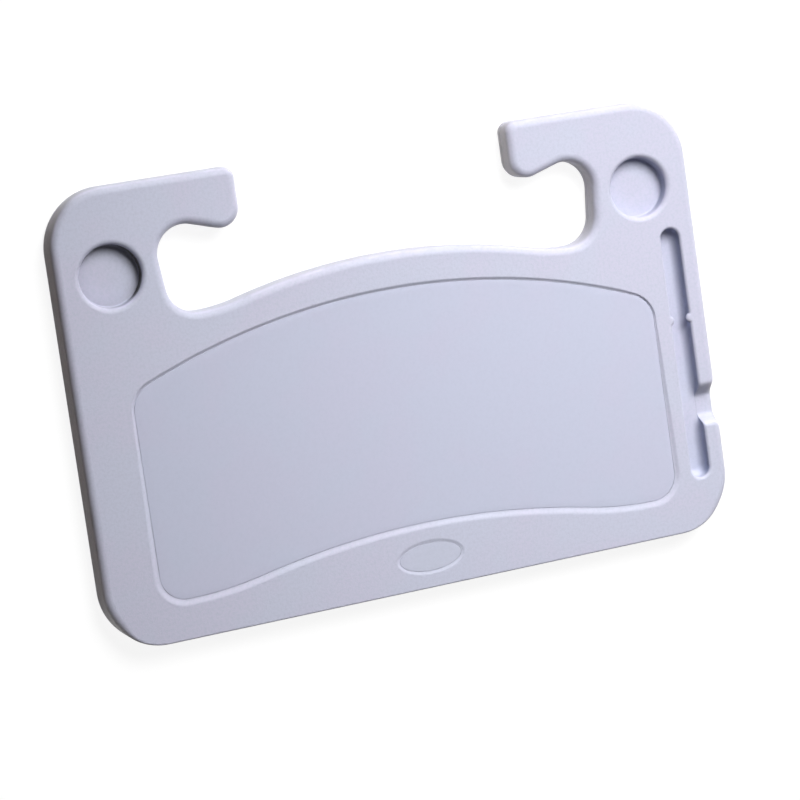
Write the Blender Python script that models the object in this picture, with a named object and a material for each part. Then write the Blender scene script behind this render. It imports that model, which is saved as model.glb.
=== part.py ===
"""Steering wheel tray: two moulded half shells, screwed together from behind.

It lies on its back. +Z points out of the writing side, +Y towards the hooks.
All lengths are in metres.
"""

import math

import bmesh
import bpy

# Tray body
TRAY_WIDTH = 0.420
TRAY_HEIGHT = 0.282
TRAY_THICKNESS = 0.018
CORNER_RADIUS = 0.037
FRONT_FILLET = 0.0035
BACK_FILLET = 0.002

# Hooks that hang on the wheel's rim
HOOK_GAP = 0.179
HOOK_TIP_DEPTH = 0.0407
HOOK_TIP_TOP_RADIUS = 0.007
HOOK_TIP_RADIUS = 0.012
THROAT_SLOPE = math.radians(17)
BOWL_DEPTH = 0.0552
BOWL_LEAN = math.radians(5.8)
BOWL_TOP_RADIUS = 0.0178
BOWL_FLOOR_RADIUS = 0.0185
BOWL_FLOOR_DROP = 0.0845

# Arch between the hooks
ARCH_CROWN_DROP = 0.0687
ARCH_RADIUS = 0.385
ARCH_END_SLOPE = math.radians(14.44)
ARCH_BLEND_RADIUS = 0.100

# Shell walls and the seam between the shells
FACE_WALL = 0.0022
SIDE_WALL = 0.0028
CLEARANCE = 0.0003
SEAM_HEIGHT = 0.005
TONGUE_WIDTH = 0.00125
TONGUE_HEIGHT = 0.0012
RIB_WIDTH = 0.0016
RIB_RELIEF = 0.0006
PANEL_RIB_MARGIN = 0.012
PANEL_RIB_ROWS = 3
PANEL_RIB_COLUMNS = 4
HOOK_RIB_LENGTH = 0.092
HOOK_RIB_DROP = 0.0175

# Writing panel
PANEL_WIDTH = 0.3494
PANEL_TOP_DROP = 0.0898
PANEL_FLOOR_MARGIN = 0.0234
PANEL_TOP_RADIUS = 0.437
PANEL_TOP_END_SLOPE = math.radians(21.5)
PANEL_TOP_CORNER_RADIUS = 0.020
PANEL_FLOOR_RISE = 0.0166
PANEL_FLOOR_RADIUS = 0.510
PANEL_FLOOR_END_SLOPE = math.radians(11.3)
PANEL_FLOOR_BLEND_RADIUS = 0.210
PANEL_CORNER_RADIUS = 0.0178
PANEL_STEP = 0.001
PANEL_SHEET = 0.001
PANEL_SHEET_EDGE = 0.0002

# Shallow field on the back
BACK_FIELD_DEPTH = 0.001
BACK_FIELD_MARGIN = 0.004

# Round cups
CUP_SPACING = 0.3494
CUP_DROP = 0.0545
CUP_RADIUS = 0.0192
CUP_DEPTH = 0.0095
CUP_MOUTH = 0.0022
CUP_FLOOR_FILLET = 0.0015

# Pen trough on the right
TROUGH_EDGE = 0.0185
TROUGH_WIDTH = 0.013
TROUGH_TOP_DROP = 0.084
TROUGH_FLOOR_MARGIN = 0.034
TROUGH_DEPTH = 0.0095
TROUGH_MOUTH = 0.0015
TROUGH_FLOOR_FILLET = 0.004
NUB_LENGTH = 0.006
NUB_HEIGHT = 0.0046
NUB_REACH = 0.0014
NUB_ROOT = 0.0003
NUB_SINK = 0.003
NUB_NOTCH_REACH = 0.0565

# Finger notch through the trough's outer wall
NOTCH_RISE = 0.082
NOTCH_MOUTH = 0.032
NOTCH_FLOOR = 0.014
NOTCH_DEPTH = 0.0092
NOTCH_FLOOR_FILLET = 0.005
NOTCH_MOUTH_FILLET = 0.005
NOTCH_LIP_SLOPE = math.radians(12)

# Oval badge seat
BADGE_WIDTH = 0.043
BADGE_HEIGHT = 0.0206
BADGE_RISE = 0.0205
BADGE_STEP = 0.0006
BADGE_PLATE = 0.0008
BADGE_EDGE = 0.0002

# Screws and the posts that take them
SCREW_COVER = 0.0025
SCREW_RADIUS = 0.0015
SCREW_TIP_LENGTH = 0.002
SCREW_TIP_RADIUS = 0.0004
HEAD_RADIUS = 0.0028
HEAD_HEIGHT = 0.0019
HEAD_SEAT = 0.0035
HEAD_ROOM = 0.0006
CROSS_SPAN = 0.0032
CROSS_WIDTH = 0.0007
CROSS_DEPTH = 0.0011
POST_RADIUS = 0.0045
BOSS_RADIUS = 0.004
BOSS_ROOM = 0.0005
SCREW_MARGIN = 0.015
CORNER_SCREW_SHARE = 0.62
SHOULDER_SCREW_DROP = 0.0405
SHOULDER_SCREW_SHIFT = 0.0147
SIDE_SCREW_RISE = 0.121
SIDE_SCREW_INSET = 0.0115
EDGE_SCREW_SPACING = 0.144
ARCH_SCREW_SPACING = 0.090

# Fineness of the facets, and how far a cutter runs past what it cuts
FACET_SAG = 0.00012
FILLET_FACETS = 3
WELD = 0.000005
OVERRUN = 0.001
SMOOTH_ANGLE = math.radians(32)

# Places that several pieces share
TOP = TRAY_HEIGHT / 2
RIGHT = TRAY_WIDTH / 2
PANEL_FLOOR_EDGE = -TOP + PANEL_FLOOR_MARGIN
CEILING = TRAY_THICKNESS - FACE_WALL
PANEL_SEAT = TRAY_THICKNESS - PANEL_STEP - PANEL_SHEET - CLEARANCE
BADGE_SEAT = TRAY_THICKNESS - BADGE_STEP - BADGE_PLATE - CLEARANCE
TROUGH_X = RIGHT - TROUGH_EDGE
TROUGH_TOP = TOP - TROUGH_TOP_DROP
TROUGH_LENGTH = TRAY_HEIGHT - TROUGH_TOP_DROP - TROUGH_FLOOR_MARGIN
NOTCH_Y = -TOP + NOTCH_RISE
HEAD_PLACE = HEAD_SEAT - CLEARANCE - HEAD_HEIGHT
HOLE_TOP = PANEL_SEAT - SCREW_COVER
SCREW_LENGTH = HOLE_TOP - BOSS_ROOM - HEAD_PLACE - HEAD_HEIGHT


def clear_scene():
    for thing in list(bpy.data.objects):
        bpy.data.objects.remove(thing)


def plastic(name, colour, roughness, metallic=0.0):
    """A Principled material of one colour."""
    made = bpy.data.materials.new(name)
    made.use_nodes = True
    shader = made.node_tree.nodes["Principled BSDF"]
    shader.inputs["Base Color"].default_value = (*colour, 1)
    shader.inputs["Roughness"].default_value = roughness
    shader.inputs["Metallic"].default_value = metallic
    return made


def facets(turn, radius):
    """How many straight pieces keep an arc within the facet sag."""
    step = 2 * math.acos(1 - min(FACET_SAG / radius, 1))
    return max(1, math.ceil(abs(turn) / step))


def corner_frame(before, here, after, inset):
    """A corner's point moved in by inset, its turn, and its two directions."""
    into = math.atan2(here[1] - before[1], here[0] - before[0])
    out = math.atan2(after[1] - here[1], after[0] - here[0])
    turn = math.remainder(out - into, math.tau)
    middle = into + turn / 2 + math.pi / 2
    reach = inset / math.cos(turn / 2)
    point = (here[0] + reach * math.cos(middle), here[1] + reach * math.sin(middle))
    return point, turn, into


def rounded(corners, inset=0.0):
    """A closed outline through corners (x, y, radius), moved in by inset."""
    count = len(corners)
    frames = []
    for i, here in enumerate(corners):
        frames.append(corner_frame(corners[i - 1], here, corners[(i + 1) % count], inset))
    radii = []
    cuts = []
    for (_, turn, _), corner in zip(frames, corners):
        inner = corner[2] - inset * math.copysign(1, turn)
        radii.append(max(inner, 0.0) if corner[2] else 0.0)
        cuts.append(radii[-1] * math.tan(abs(turn) / 2))
    # Two arcs that share a side too short for both give way alike.
    fits = [1.0] * count
    for i in range(count):
        after = (i + 1) % count
        side = math.dist(frames[i][0], frames[after][0])
        if cuts[i] + cuts[after] > side:
            share = side / (cuts[i] + cuts[after])
            fits[i] = min(fits[i], share)
            fits[after] = min(fits[after], share)
    outline = []
    for (point, turn, into), corner, radius, cut, fit in zip(frames, corners, radii, cuts, fits):
        if not corner[2]:
            outline.append(point)
            continue
        side = math.copysign(math.pi / 2, turn)
        start = (point[0] - cut * fit * math.cos(into), point[1] - cut * fit * math.sin(into))
        centre = (
            start[0] + radius * fit * math.cos(into + side),
            start[1] + radius * fit * math.sin(into + side),
        )
        steps = facets(turn, corner[2])
        for k in range(steps + 1):
            angle = into - side + turn * k / steps
            outline.append(
                (
                    centre[0] + radius * fit * math.cos(angle),
                    centre[1] + radius * fit * math.sin(angle),
                )
            )
    return outline


def both_sides(right_corners):
    """Corners of the right half, then the same ones mirrored to the left."""
    left = [(-x, y, radius) for x, y, radius in reversed(right_corners) if x]
    return right_corners + left


def crown_corner(crown, radius, end_slope):
    """Height of the corner whose rounding tops out at crown."""
    return crown + radius * (1 / math.cos(end_slope) - 1)


def meeting_point(first, first_angle, second, second_angle):
    """Where two lines cross, each given by a point and an angle."""
    ax, ay = math.cos(first_angle), math.sin(first_angle)
    bx, by = math.cos(second_angle), math.sin(second_angle)
    across = ax * by - ay * bx
    run = ((second[0] - first[0]) * by - (second[1] - first[1]) * bx) / across
    return first[0] + run * ax, first[1] + run * ay


def tray_outline(inset=0.0):
    """The whole tray seen from the front, moved in by inset."""
    tip = HOOK_GAP / 2
    tip_corner = (tip, TOP - HOOK_TIP_DEPTH)
    bowl_floor = TOP - BOWL_FLOOR_DROP
    lean = math.pi / 2 - BOWL_LEAN
    bowl_side = (tip + BOWL_DEPTH, TOP - HOOK_TIP_DEPTH)
    bowl_top = meeting_point(tip_corner, THROAT_SLOPE, bowl_side, lean)
    bowl_foot = meeting_point((0, bowl_floor), 0, bowl_side, lean)
    crown = crown_corner(TOP - ARCH_CROWN_DROP, ARCH_RADIUS, ARCH_END_SLOPE)
    arch_foot = meeting_point((0, crown), -ARCH_END_SLOPE, (0, bowl_floor), 0)
    corners = [
        (RIGHT, -TOP, CORNER_RADIUS),
        (RIGHT, TOP, CORNER_RADIUS),
        (tip, TOP, HOOK_TIP_TOP_RADIUS),
        (*tip_corner, HOOK_TIP_RADIUS),
        (*bowl_top, BOWL_TOP_RADIUS),
        (*bowl_foot, BOWL_FLOOR_RADIUS),
        (*arch_foot, ARCH_BLEND_RADIUS),
        (0, crown, ARCH_RADIUS),
    ]
    return rounded(both_sides(corners), inset)


def panel_outline(inset=0.0):
    """The writing panel: an arched top and an arched lower edge."""
    side = PANEL_WIDTH / 2
    top = crown_corner(TOP - PANEL_TOP_DROP, PANEL_TOP_RADIUS, PANEL_TOP_END_SLOPE)
    shoulder = meeting_point((0, top), -PANEL_TOP_END_SLOPE, (side, 0), math.pi / 2)
    floor_crown = PANEL_FLOOR_EDGE + PANEL_FLOOR_RISE
    rise = crown_corner(floor_crown, PANEL_FLOOR_RADIUS, PANEL_FLOOR_END_SLOPE)
    dip = meeting_point((0, rise), -PANEL_FLOOR_END_SLOPE, (0, PANEL_FLOOR_EDGE), 0)
    corners = [
        (0, rise, PANEL_FLOOR_RADIUS),
        (*dip, PANEL_FLOOR_BLEND_RADIUS),
        (side, PANEL_FLOOR_EDGE, PANEL_CORNER_RADIUS),
        (*shoulder, PANEL_TOP_CORNER_RADIUS),
        (0, top, PANEL_TOP_RADIUS),
    ]
    return rounded(both_sides(corners), inset)


def circle(radius, count=0):
    count = count or 2 * facets(math.pi, radius)
    turns = [math.tau * i / count for i in range(count)]
    return [(radius * math.cos(turn), radius * math.sin(turn)) for turn in turns]


def cup_outline(inset=0.0):
    return circle(CUP_RADIUS - inset, 2 * facets(math.pi, CUP_RADIUS))


def trough_outline(inset=0.0):
    """The pen trough: two half circles joined by straight sides."""
    radius = TROUGH_WIDTH / 2
    straight = TROUGH_LENGTH / 2 - radius
    steps = facets(math.pi, radius)
    upper = []
    for k in range(steps + 1):
        angle = math.pi * k / steps
        reach = radius - inset
        upper.append((reach * math.cos(angle), straight + reach * math.sin(angle)))
    return upper + [(-x, -y) for x, y in upper]


def badge_outline(inset=0.0):
    count = 2 * facets(math.pi, BADGE_WIDTH / 2)
    outline = []
    for i in range(count):
        angle = math.tau * i / count
        across = (BADGE_WIDTH / 2 - inset) * math.cos(angle)
        along = (BADGE_HEIGHT / 2 - inset) * math.sin(angle)
        outline.append((across, along))
    return outline


def notch_profile(inset=0.0):
    """The finger notch seen from the side, rounded at its floor and at its mouth."""
    face = TRAY_THICKNESS
    floor, mouth = NOTCH_FLOOR / 2, NOTCH_MOUTH / 2
    over = OVERRUN / math.tan(NOTCH_LIP_SLOPE)
    corners = [
        (-floor, face - NOTCH_DEPTH, NOTCH_FLOOR_FILLET),
        (floor, face - NOTCH_DEPTH, NOTCH_FLOOR_FILLET),
        (mouth, face, NOTCH_MOUTH_FILLET),
        (mouth + over, face + OVERRUN, 0),
        (-mouth - over, face + OVERRUN, 0),
        (-mouth, face, NOTCH_MOUTH_FILLET),
    ]
    return rounded(corners, inset)


def box_outline(left, bottom, right, top):
    return [(left, bottom), (right, bottom), (right, top), (left, top)]


def quarter(radius):
    """Inset and rise at each step of a quarter round, from its foot to its top."""
    steps = []
    for k in range(FILLET_FACETS + 1):
        angle = math.pi / 2 * k / FILLET_FACETS
        steps.append((radius * (1 - math.cos(angle)), radius * math.sin(angle)))
    return steps


def new_object(name, mesh):
    """Turn a bmesh into an object that is shaded smooth between its sharp edges."""
    data = bpy.data.meshes.new(name)
    mesh.to_mesh(data)
    mesh.free()
    data.shade_smooth()
    data.set_sharp_from_angle(angle=SMOOTH_ANGLE)
    made = bpy.data.objects.new(name, data)
    bpy.context.scene.collection.objects.link(made)
    return made


def stack(name, layers, sideways=False):
    """A closed solid through layers (outline, height), from the lowest up.

    Sideways, the outlines stand in the YZ plane and the heights run along X.
    """
    mesh = bmesh.new()
    rings = []
    for outline, height in layers:
        points = [(height, a, b) if sideways else (a, b, height) for a, b in outline]
        rings.append([mesh.verts.new(point) for point in points])
    mesh.faces.new(reversed(rings[0]))
    mesh.faces.new(rings[-1])
    for low, high in zip(rings, rings[1:]):
        for i in range(len(low)):
            mesh.faces.new((low[i - 1], low[i], high[i], high[i - 1]))
    return new_object(name, mesh)


def pocket(name, outline_at, floor, floor_fillet, mouth):
    """A cutter for a recess in the front face, rounded at its floor and its mouth."""
    layers = []
    for inset, rise in reversed(quarter(floor_fillet)):
        layers.append((outline_at(inset), floor + floor_fillet - rise))
    flare = [(-inset, rise) for inset, rise in quarter(mouth)]
    # The last facet of the mouth is carried on above the face.
    over = OVERRUN / (flare[-1][1] - flare[-2][1])
    flare.append(tuple(b + (b - a) * over for a, b in zip(flare[-2], flare[-1])))
    for inset, rise in flare:
        layers.append((outline_at(inset), TRAY_THICKNESS - mouth + rise))
    return stack(name, layers)


def plug(name, outline, low, high):
    return stack(name, [(outline, low), (outline, high)])


def bar(name, left, bottom, right, top, low, high):
    return plug(name, box_outline(left, bottom, right, top), low, high)


def moved(thing, x, y, z=0.0):
    thing.location = (x, y, z)
    return thing


def carve(part, tools, operation="DIFFERENCE"):
    """Cut tools out of a part, or join them to it, and delete them."""
    group = bpy.data.collections.new(f"{part.name}_tools")
    bpy.context.scene.collection.children.link(group)
    for tool in tools:
        group.objects.link(tool)
    step = part.modifiers.new("carve", "BOOLEAN")
    step.operation = operation
    step.solver = "EXACT"
    step.operand_type = "COLLECTION"
    step.collection = group
    graph = bpy.context.evaluated_depsgraph_get()
    shaped = bpy.data.meshes.new_from_object(part.evaluated_get(graph))
    # The cut leaves a few points almost on top of each other.
    mesh = bmesh.new()
    mesh.from_mesh(shaped)
    bmesh.ops.remove_doubles(mesh, verts=mesh.verts, dist=WELD)
    mesh.to_mesh(shaped)
    mesh.free()
    part.modifiers.clear()
    for tool in tools:
        bpy.data.objects.remove(tool)
    bpy.data.collections.remove(group)
    shaped.name = part.name
    shaped.shade_smooth()
    shaped.set_sharp_from_angle(angle=SMOOTH_ANGLE)
    part.data = shaped
    return part


def arch_height(x):
    """Height of the arch's edge above the tray's middle."""
    return TOP - ARCH_CROWN_DROP - ARCH_RADIUS + math.sqrt(ARCH_RADIUS**2 - x**2)


def panel_top_height(x):
    """Height of the panel's upper edge above the tray's middle."""
    return TOP - PANEL_TOP_DROP - PANEL_TOP_RADIUS + math.sqrt(PANEL_TOP_RADIUS**2 - x**2)


def screw_places():
    """Each screw's name and place, for both sides."""
    corner = CORNER_RADIUS * CORNER_SCREW_SHARE
    arch_x = ARCH_SCREW_SPACING / 2
    right = {
        "hook_tip": (HOOK_GAP / 2 + SCREW_MARGIN, TOP - SCREW_MARGIN),
        "upper_corner": (RIGHT - corner, TOP - corner),
        "shoulder": (
            CUP_SPACING / 2 - SHOULDER_SCREW_SHIFT,
            TOP - CUP_DROP - SHOULDER_SCREW_DROP,
        ),
        "side": (PANEL_WIDTH / 2 - SIDE_SCREW_INSET, -TOP + SIDE_SCREW_RISE),
        "lower_corner": (RIGHT - corner, -TOP + corner),
        "lower_edge": (EDGE_SCREW_SPACING / 2, -TOP + SCREW_MARGIN),
        "arch": (arch_x, (arch_height(arch_x) + panel_top_height(arch_x)) / 2),
    }
    places = {}
    for name, (x, y) in right.items():
        places[f"screw_{name}_right"] = (x, y)
        places[f"screw_{name}_left"] = (-x, y)
    return places


def at_screws(kind, radius, low, high):
    """One upright cylinder at every screw."""
    made = []
    for name, (x, y) in screw_places().items():
        made.append(moved(plug(f"{name}_{kind}", circle(radius), low, high), x, y))
    return made


def ribs(kind, face, seam):
    """The grid of ribs behind the panel, and one rib along each hook.

    They stand on a shell's face and stop short of the seam, the columns sooner.
    """
    half = RIB_WIDTH / 2
    relief = math.copysign(RIB_RELIEF, face - seam)
    row_span = sorted((face, seam + relief))
    column_span = sorted((face, seam + 2 * relief))
    side = PANEL_WIDTH / 2 - PANEL_RIB_MARGIN
    bottom = PANEL_FLOOR_EDGE + PANEL_FLOOR_RISE
    top = panel_top_height(side) - PANEL_RIB_MARGIN
    made = []
    for i in range(PANEL_RIB_ROWS):
        y = bottom + (top - bottom) * i / (PANEL_RIB_ROWS - 1)
        made.append(bar(f"{kind}_row_{i}", -side, y - half, side, y + half, *row_span))
    for i in range(PANEL_RIB_COLUMNS):
        x = side * (2 * i + 1 - PANEL_RIB_COLUMNS) / PANEL_RIB_COLUMNS
        made.append(bar(f"{kind}_column_{i}", x - half, bottom, x + half, top, *column_span))
    start = HOOK_GAP / 2 + SIDE_WALL + CLEARANCE
    end = start + HOOK_RIB_LENGTH
    y = TOP - HOOK_RIB_DROP
    made.append(bar(f"{kind}_hook_right", start, y - half, end, y + half, *row_span))
    made.append(bar(f"{kind}_hook_left", -end, y - half, -start, y + half, *row_span))
    return made


def cups(kind, outline, low, high):
    """A plain plug at each of the two cups."""
    made = []
    for name, x in (("left", -CUP_SPACING / 2), ("right", CUP_SPACING / 2)):
        cup = plug(f"cup_{name}_{kind}", outline, low, high)
        made.append(moved(cup, x, TOP - CUP_DROP))
    return made


def notch(name, inset, start, end):
    made = stack(name, [(notch_profile(inset), start), (notch_profile(inset), end)], True)
    return moved(made, 0, NOTCH_Y)


def front_hollow():
    """The space inside the front shell, less the walls of everything let into its face.

    Its lowest stretch is wider, which leaves a rebate for the back shell's tongue.
    """
    rebate = tray_outline(SIDE_WALL - TONGUE_WIDTH - CLEARANCE)
    rebate_top = SEAM_HEIGHT + TONGUE_HEIGHT + CLEARANCE
    inner = tray_outline(SIDE_WALL)
    layers = [(rebate, SEAM_HEIGHT - OVERRUN), (rebate, rebate_top)]
    hollow = stack("front_hollow", layers + [(inner, rebate_top), (inner, CEILING)])
    high = TRAY_THICKNESS
    foot = SEAM_HEIGHT + CLEARANCE
    cup_foot = high - CUP_DEPTH - FACE_WALL
    trough_foot = high - TROUGH_DEPTH - FACE_WALL
    kept = cups("wall", cup_outline(-FACE_WALL), cup_foot, high)
    trough = plug("trough_wall", trough_outline(-FACE_WALL), trough_foot, high)
    kept.append(moved(trough, TROUGH_X, TROUGH_TOP - TROUGH_LENGTH / 2))
    kept.append(notch("notch_wall", -FACE_WALL, TROUGH_X, RIGHT))
    kept.append(plug("panel_wall", panel_outline(-FACE_WALL), PANEL_SEAT - FACE_WALL, high))
    badge = plug("badge_wall", badge_outline(-FACE_WALL), BADGE_SEAT - FACE_WALL, high)
    kept.append(moved(badge, 0, -TOP + BADGE_RISE))
    kept += at_screws("boss", BOSS_RADIUS, foot, high)
    kept += ribs("front_rib", high, foot)
    return carve(hollow, kept)


def nub(name, side):
    """A small bump on one wall of the trough, which holds a pen down."""
    mesh = bmesh.new()
    bmesh.ops.create_uvsphere(mesh, u_segments=12, v_segments=8, radius=1)
    size = (NUB_REACH + NUB_ROOT, NUB_LENGTH / 2, NUB_HEIGHT / 2)
    bmesh.ops.scale(mesh, verts=mesh.verts, vec=size)
    made = new_object(name, mesh)
    x = TROUGH_X + side * (TROUGH_WIDTH / 2 + NUB_ROOT)
    return moved(made, x, NOTCH_Y + NUB_NOTCH_REACH, TRAY_THICKNESS - NUB_SINK)


def front_shell(material):
    """The writing side: face, upper half of the side walls, cups, trough and notch."""
    foot = SEAM_HEIGHT + CLEARANCE
    layers = [(tray_outline(), foot)]
    for inset, rise in quarter(FRONT_FILLET):
        layers.append((tray_outline(inset), TRAY_THICKNESS - FRONT_FILLET + rise))
    shell = stack("front_shell", layers)
    cuts = [front_hollow()]
    for name, x in (("cup_left", -CUP_SPACING / 2), ("cup_right", CUP_SPACING / 2)):
        floor = TRAY_THICKNESS - CUP_DEPTH
        cup = pocket(name, cup_outline, floor, CUP_FLOOR_FILLET, CUP_MOUTH)
        cuts.append(moved(cup, x, TOP - CUP_DROP))
    floor = TRAY_THICKNESS - TROUGH_DEPTH
    trough = pocket("trough", trough_outline, floor, TROUGH_FLOOR_FILLET, TROUGH_MOUTH)
    cuts.append(moved(trough, TROUGH_X, TROUGH_TOP - TROUGH_LENGTH / 2))
    cuts.append(notch("notch", 0, TROUGH_X, RIGHT + OVERRUN))
    above = TRAY_THICKNESS + OVERRUN
    cuts.append(plug("panel_pocket", panel_outline(), PANEL_SEAT, above))
    badge = plug("badge_pocket", badge_outline(), BADGE_SEAT, above)
    cuts.append(moved(badge, 0, -TOP + BADGE_RISE))
    cuts += at_screws("pilot", SCREW_RADIUS + CLEARANCE, foot - OVERRUN, HOLE_TOP)
    carve(shell, cuts)
    carve(shell, [nub("nub_outer", 1), nub("nub_inner", -1)], "UNION")
    shell.data.materials.append(material)


def back_hollow():
    """The space inside the back shell, less its posts, ribs and the field's wall."""
    top = SEAM_HEIGHT + TONGUE_HEIGHT + OVERRUN
    hollow = plug("back_hollow", tray_outline(SIDE_WALL), FACE_WALL, top)
    field = panel_outline(BACK_FIELD_MARGIN - FACE_WALL)
    kept = [plug("field_wall", field, 0, BACK_FIELD_DEPTH + FACE_WALL)]
    kept += at_screws("post", POST_RADIUS, 0, SEAM_HEIGHT)
    kept += ribs("back_rib", 0, SEAM_HEIGHT)
    return carve(hollow, kept)


def back_shell(material):
    """The rear side: a shallow field, the lower half of the walls, and the tongue."""
    layers = []
    for inset, rise in reversed(quarter(BACK_FILLET)):
        layers.append((tray_outline(inset), BACK_FILLET - rise))
    tongue = tray_outline(SIDE_WALL - TONGUE_WIDTH)
    layers.append((tray_outline(), SEAM_HEIGHT))
    layers.append((tongue, SEAM_HEIGHT))
    layers.append((tongue, SEAM_HEIGHT + TONGUE_HEIGHT))
    shell = stack("back_shell", layers)
    cuts = [back_hollow()]
    cuts.append(plug("field", panel_outline(BACK_FIELD_MARGIN), -OVERRUN, BACK_FIELD_DEPTH))
    cuts += at_screws("counterbore", HEAD_RADIUS + HEAD_ROOM, -OVERRUN, HEAD_SEAT)
    through = SEAM_HEIGHT + OVERRUN
    cuts += at_screws("passage", SCREW_RADIUS + CLEARANCE, HEAD_SEAT - OVERRUN, through)
    # The tongue gives way where a deeper notch would come down to it.
    cuts.append(notch("notch_relief", -FACE_WALL - CLEARANCE, TROUGH_X, RIGHT + OVERRUN))
    carve(shell, cuts)
    shell.data.materials.append(material)


def writing_panel(material):
    """The smooth sheet that is let into the front shell."""
    low = PANEL_SEAT + CLEARANCE
    high = low + PANEL_SHEET
    face = panel_outline(CLEARANCE + PANEL_SHEET_EDGE)
    edge = panel_outline(CLEARANCE)
    layers = [(edge, low), (edge, high - PANEL_SHEET_EDGE), (face, high)]
    stack("writing_panel", layers).data.materials.append(material)


def badge_plate(material):
    """The bare oval plate below the panel."""
    low = BADGE_SEAT + CLEARANCE
    high = low + BADGE_PLATE
    face = badge_outline(CLEARANCE + BADGE_EDGE)
    edge = badge_outline(CLEARANCE)
    plate = stack("badge_plate", [(edge, low), (edge, high - BADGE_EDGE), (face, high)])
    moved(plate, 0, -TOP + BADGE_RISE).data.materials.append(material)


def cross_outline():
    """A plus sign, for the recess in a screw's head."""
    arm, half = CROSS_SPAN / 2, CROSS_WIDTH / 2
    quadrant = [(arm, -half), (arm, half), (half, half)]
    outline = []
    for quarter_turn in range(4):
        for x, y in quadrant:
            for _ in range(quarter_turn):
                x, y = -y, x
            outline.append((x, y))
    return outline


def screw_mesh(material):
    """A pan head screw with its head's face at zero and its tip up."""
    count = 2 * facets(math.pi, HEAD_RADIUS)
    tip = HEAD_HEIGHT + SCREW_LENGTH
    dome_shares = ((0.62, 0.0), (0.86, 0.14), (1.0, 0.5), (1.0, 1.0))
    profile = [(HEAD_RADIUS * wide, HEAD_HEIGHT * high) for wide, high in dome_shares]
    profile += [(SCREW_RADIUS, HEAD_HEIGHT), (SCREW_RADIUS, tip - SCREW_TIP_LENGTH)]
    profile.append((SCREW_TIP_RADIUS, tip))
    screw = stack("screw", [(circle(radius, count), height) for radius, height in profile])
    carve(screw, [plug("cross", cross_outline(), -OVERRUN, CROSS_DEPTH)])
    screw.data.materials.append(material)
    data = screw.data
    bpy.data.objects.remove(screw)
    return data


def screws(material):
    """One screw at each place, all with the same mesh."""
    data = screw_mesh(material)
    for name, (x, y) in screw_places().items():
        screw = bpy.data.objects.new(name, data)
        bpy.context.scene.collection.objects.link(screw)
        moved(screw, x, y, HEAD_PLACE)


def main():
    clear_scene()
    textured = plastic("textured_grey", (0.60, 0.60, 0.71), 0.58)
    smooth = plastic("smooth_grey", (0.55, 0.56, 0.68), 0.42)
    badge = plastic("badge_grey", (0.57, 0.57, 0.69), 0.45)
    steel = plastic("zinc_steel", (0.62, 0.62, 0.64), 0.35, 1.0)
    front_shell(textured)
    back_shell(textured)
    writing_panel(smooth)
    badge_plate(badge)
    screws(steel)


main()
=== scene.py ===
# %% [markdown]
# # A tray that hangs on a steering wheel
#
# The real object is two moulded half shells of grey plastic, held together by
# screws from behind. A smooth sheet is let into the front, and a bare oval plate
# sits below it. It lies on its back here: +Z points out of the writing side and
# +Y points to the hooks.
#
# This script dresses the measured CAD model. The model's walls have coarse facets,
# because a simulator has to carry them. Here the same outlines are drawn again with
# fine arcs, and every edge gets the small round that a mould leaves on it.

import math

import bmesh
import bpy
from mathutils import Matrix, Vector


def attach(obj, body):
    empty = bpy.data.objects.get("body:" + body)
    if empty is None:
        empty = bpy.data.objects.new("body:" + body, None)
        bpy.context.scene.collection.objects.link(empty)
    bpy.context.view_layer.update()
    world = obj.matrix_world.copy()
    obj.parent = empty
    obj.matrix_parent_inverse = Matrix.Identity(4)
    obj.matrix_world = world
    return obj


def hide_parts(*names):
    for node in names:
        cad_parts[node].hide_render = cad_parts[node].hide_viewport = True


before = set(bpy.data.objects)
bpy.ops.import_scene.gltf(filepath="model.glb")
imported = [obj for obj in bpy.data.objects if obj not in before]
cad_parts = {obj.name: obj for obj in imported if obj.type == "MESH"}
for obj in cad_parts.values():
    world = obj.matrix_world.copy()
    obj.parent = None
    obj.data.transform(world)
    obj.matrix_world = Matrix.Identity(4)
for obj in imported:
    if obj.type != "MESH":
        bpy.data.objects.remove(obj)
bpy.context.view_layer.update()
print("CAD nodes:", len(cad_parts))

# %% [markdown]
# ## Sizes
#
# The sizes repeat those of the CAD source, but in millimetres, which read better
# when a wall is two or three of them thick. One factor turns them into the scene's
# metres when a point becomes part of a mesh. Heights are counted from the floor.

# %% Sizes in millimetres
MM = 0.001
RIGHT, TOP, FACE = 210.0, 141.0, 18.0
CORNER_RADIUS = 37
SEAM, SEAM_GAP, SEAM_ROUND = 5.0, 0.12, 0.25
SKIN = 0.9
POCKET_FLOOR = 8.5
CUP_X, CUP_Y, CUP_RADIUS = 174.7, 86.5, 19.2
TROUGH_X, TROUGH_LOW, TROUGH_HIGH = 191.5, -107.0, 57.0
TROUGH_RADIUS = 6.5
SHEET_FACE, SHEET_SEAT = 17.0, 15.7
BADGE_CENTRE, BADGE_HALVES = (0.0, -121.3), (21.5, 9.7)
BADGE_FACE, BADGE_SEAT = 17.46, 16.3
print("tray:", 2 * RIGHT, "x", 2 * TOP, "x", FACE, "mm")

# %% [markdown]
# ## Rounded outlines
#
# Seen from the front, every edge of the tray is a row of straight lines and arcs.
# Such an outline could be traced point by point, or drawn as a Bezier curve. A list
# of sharp corners, each with the radius of its round, says the same in a few numbers
# that can be measured. The functions below turn the list into points. They can also
# move the whole outline inward, with every arc keeping its centre. The number of
# points stays the same, so two outlines join with plain four-sided faces.

# %% From corners to points
ARC_SAG = 0.012


def arc_steps(turn, radius):
    """How many straight pieces keep an arc within the sag."""
    step = 2 * math.acos(1 - ARC_SAG / radius)
    return max(2, math.ceil(abs(turn) / step))


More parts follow.
